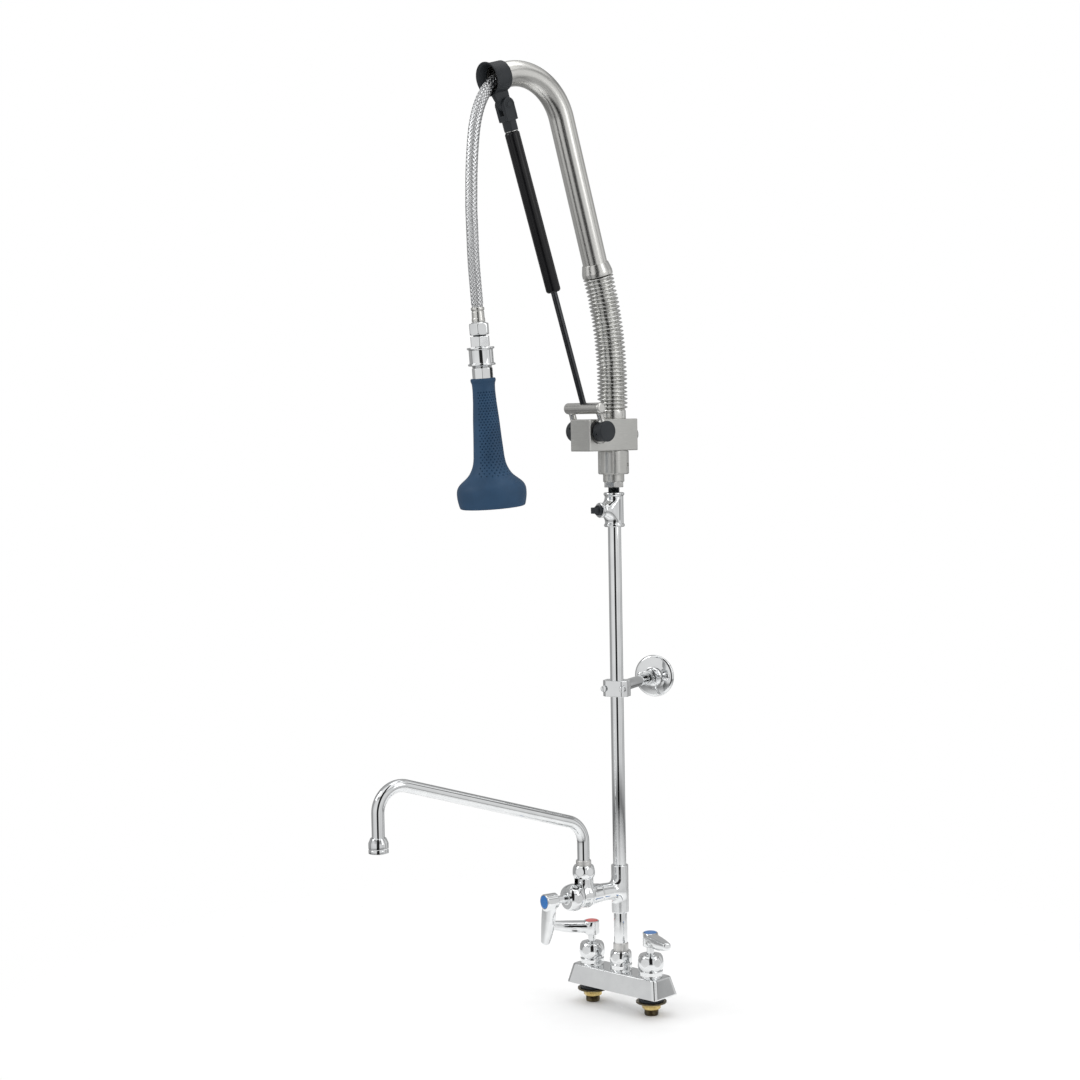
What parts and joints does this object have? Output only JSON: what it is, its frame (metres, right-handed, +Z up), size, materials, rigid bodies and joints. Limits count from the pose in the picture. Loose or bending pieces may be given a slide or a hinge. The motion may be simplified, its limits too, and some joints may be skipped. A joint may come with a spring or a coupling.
{
  "type": "pre rinse faucet",
  "caption": "Deck-mounted pre-rinse faucet: lever valves, tall riser, add-on swing nozzle, and a strut-balanced gooseneck with braided hose and spray valve.",
  "frame": {"origin": "on the deck plane under the middle of the base, midway between the two valve centres", "axes": "+Z up along the riser, +X towards the cold valve, -Y towards the user"},
  "size_m": [0.2013, 0.5115, 1.2179],
  "materials": {
    "chrome": "mirror chrome plate",
    "brushed_stainless": "brushed, fine lengthwise grain",
    "satin_stainless": "satin, fine grain",
    "bellows_stainless": "bright rolled corrugations",
    "hose_braid": "woven stainless braid",
    "raw_brass": "raw, lightly tarnished",
    "stem_steel": "turned",
    "black_plastic": "fine matte",
    "strut_black": "gloss black",
    "rod_steel": "dark nitrided, ground",
    "dark_thread": "dark threaded",
    "cap_blue": "gloss",
    "cap_red": "gloss",
    "grip_blue": "dimpled rubber",
    "inner_hose": "plain"
  },
  "bodies": {
    "deck": {"deck_base": "chrome", "inlet_shanks": "raw_brass", "shank_washers": "raw_brass", "shank_locknuts": "raw_brass", "valve_cartridges": "raw_brass", "valve_bonnets": "chrome", "swivel_nuts": "chrome", "lower_nipple": "chrome", "addon_body": "chrome", "riser_pipe": "chrome", "tee": "chrome", "tee_plug": "black_plastic", "top_nipple": "dark_thread", "riser_clamp": "chrome", "clamp_screws": "chrome", "bracket_rod": "chrome", "bracket_nuts": "chrome", "wall_flange": "chrome", "flange_screws": "chrome", "hub_spigot": "satin_stainless"},
    "hot_lever": {"hot_stem": "stem_steel", "hot_handle": "chrome", "hot_index": "cap_red"},
    "cold_lever": {"cold_stem": "stem_steel", "cold_handle": "chrome", "cold_index": "cap_blue"},
    "addon_lever": {"addon_stem": "stem_steel", "addon_handle": "chrome", "addon_index": "cap_blue"},
    "nozzle": {"swing_nozzle": "chrome", "aerator_shell": "chrome", "aerator_insert": "stem_steel"},
    "swivel": {"swivel_hub": "satin_stainless", "hinge_block": "satin_stainless", "block_bolt": "satin_stainless", "lower_collar": "satin_stainless"},
    "neck": {"bellows": "bellows_stainless", "inner_hose_flex": "inner_hose", "top_collar": "brushed_stainless", "gooseneck_tube": "brushed_stainless", "mouth_ring": "black_plastic", "inner_hose": "inner_hose"},
    "bail": {"hinge_pin": "stem_steel", "hinge_knobs": "black_plastic", "bail": "satin_stainless", "strut_rod": "rod_steel"},
    "strut": {"strut_cylinder": "strut_black", "clevis_fork": "black_plastic", "clevis_pin": "black_plastic"},
    "hose": {"hose_free": "hose_braid", "hose_ferrule": "chrome", "hose_nut": "chrome", "hex_adaptor": "chrome"},
    "valve": {"swivel_sleeve": "chrome", "valve_body": "chrome", "spray_grip": "grip_blue", "spray_face": "black_plastic", "trigger_pin": "stem_steel"},
    "trigger": {"trigger": "black_plastic"},
    "stem": {"valve_stem": "stem_steel"}
  },
  "joints": [
    {"name": "hot_turn", "type": "hinge", "parent": "deck", "child": "hot_lever", "pos_m": [-0.0508, 0, 0.07], "axis": [0, 0, 1], "range_deg": [-90, 0]},
    {"name": "cold_turn", "type": "hinge", "parent": "deck", "child": "cold_lever", "pos_m": [0.0508, 0, 0.07], "axis": [0, 0, 1], "range_deg": [0, 90]},
    {"name": "addon_turn", "type": "hinge", "parent": "deck", "child": "addon_lever", "pos_m": [-0.02419, -0.09703, 0.131], "axis": [-0.2419, -0.9703, 0], "range_deg": [0, 90]},
    {"name": "nozzle_swing", "type": "hinge", "parent": "deck", "child": "nozzle", "pos_m": [-0.01379, -0.05531, 0.16], "axis": [0, 0, 1], "range_deg": [-150, 150]},
    {"name": "hub_turn", "type": "hinge", "parent": "deck", "child": "swivel", "pos_m": [0, 0, 0.69], "axis": [0, 0, 1], "continuous": true},
    {"name": "neck_tilt", "type": "hinge", "parent": "swivel", "child": "neck", "pos_m": [0, 0, 0.856], "axis": [0.9914, -0.1305, 0], "range_deg": [0, 30], "stiffness_Nm_per_rad": 8, "springref_deg": -51.57, "deforming": ["bellows", "inner_hose_flex"]},
    {"name": "bail_turn", "type": "hinge", "parent": "swivel", "child": "bail", "pos_m": [-0.00502, -0.03817, 0.732], "axis": [0.9914, -0.1305, 0], "range_deg": [0, 24]},
    {"name": "strut_slide", "type": "slide", "parent": "bail", "child": "strut", "axis": [-0.0403, -0.3064, 0.9511], "range_m": [-0.05, 0]},
    {"name": "hose_swing", "type": "hinge", "parent": "neck", "child": "hose", "pos_m": [-0.02689, -0.20424, 1.1385], "axis": [-0.9914, 0.1305, 0], "range_deg": [-10, 30], "deforming": ["hose_free"]},
    {"name": "valve_swivel", "type": "hinge", "parent": "hose", "child": "valve", "pos_m": [-0.02798, -0.2125, 0.83713], "axis": [-0.0096, -0.0726, 0.9973], "continuous": true},
    {"name": "trigger_squeeze", "type": "hinge", "parent": "valve", "child": "trigger", "pos_m": [-0.04003, -0.19548, 0.79113], "axis": [-0.737, -0.6736, -0.0561], "range_deg": [0, 8], "stiffness_Nm_per_rad": 1.2, "springref_deg": -14.32},
    {"name": "stem_push", "type": "slide", "parent": "valve", "child": "stem", "axis": [0.6758, -0.7356, -0.0471], "range_m": [0, 0.006]}
  ],
  "couplings": [
    {"joint": "bail_turn", "follows": "neck_tilt", "ratio": 0.7745},
    {"joint": "strut_slide", "follows": "neck_tilt", "m_per_rad": -0.0909},
    {"joint": "stem_push", "follows": "trigger_squeeze", "m_per_rad": 0.034}
  ]
}
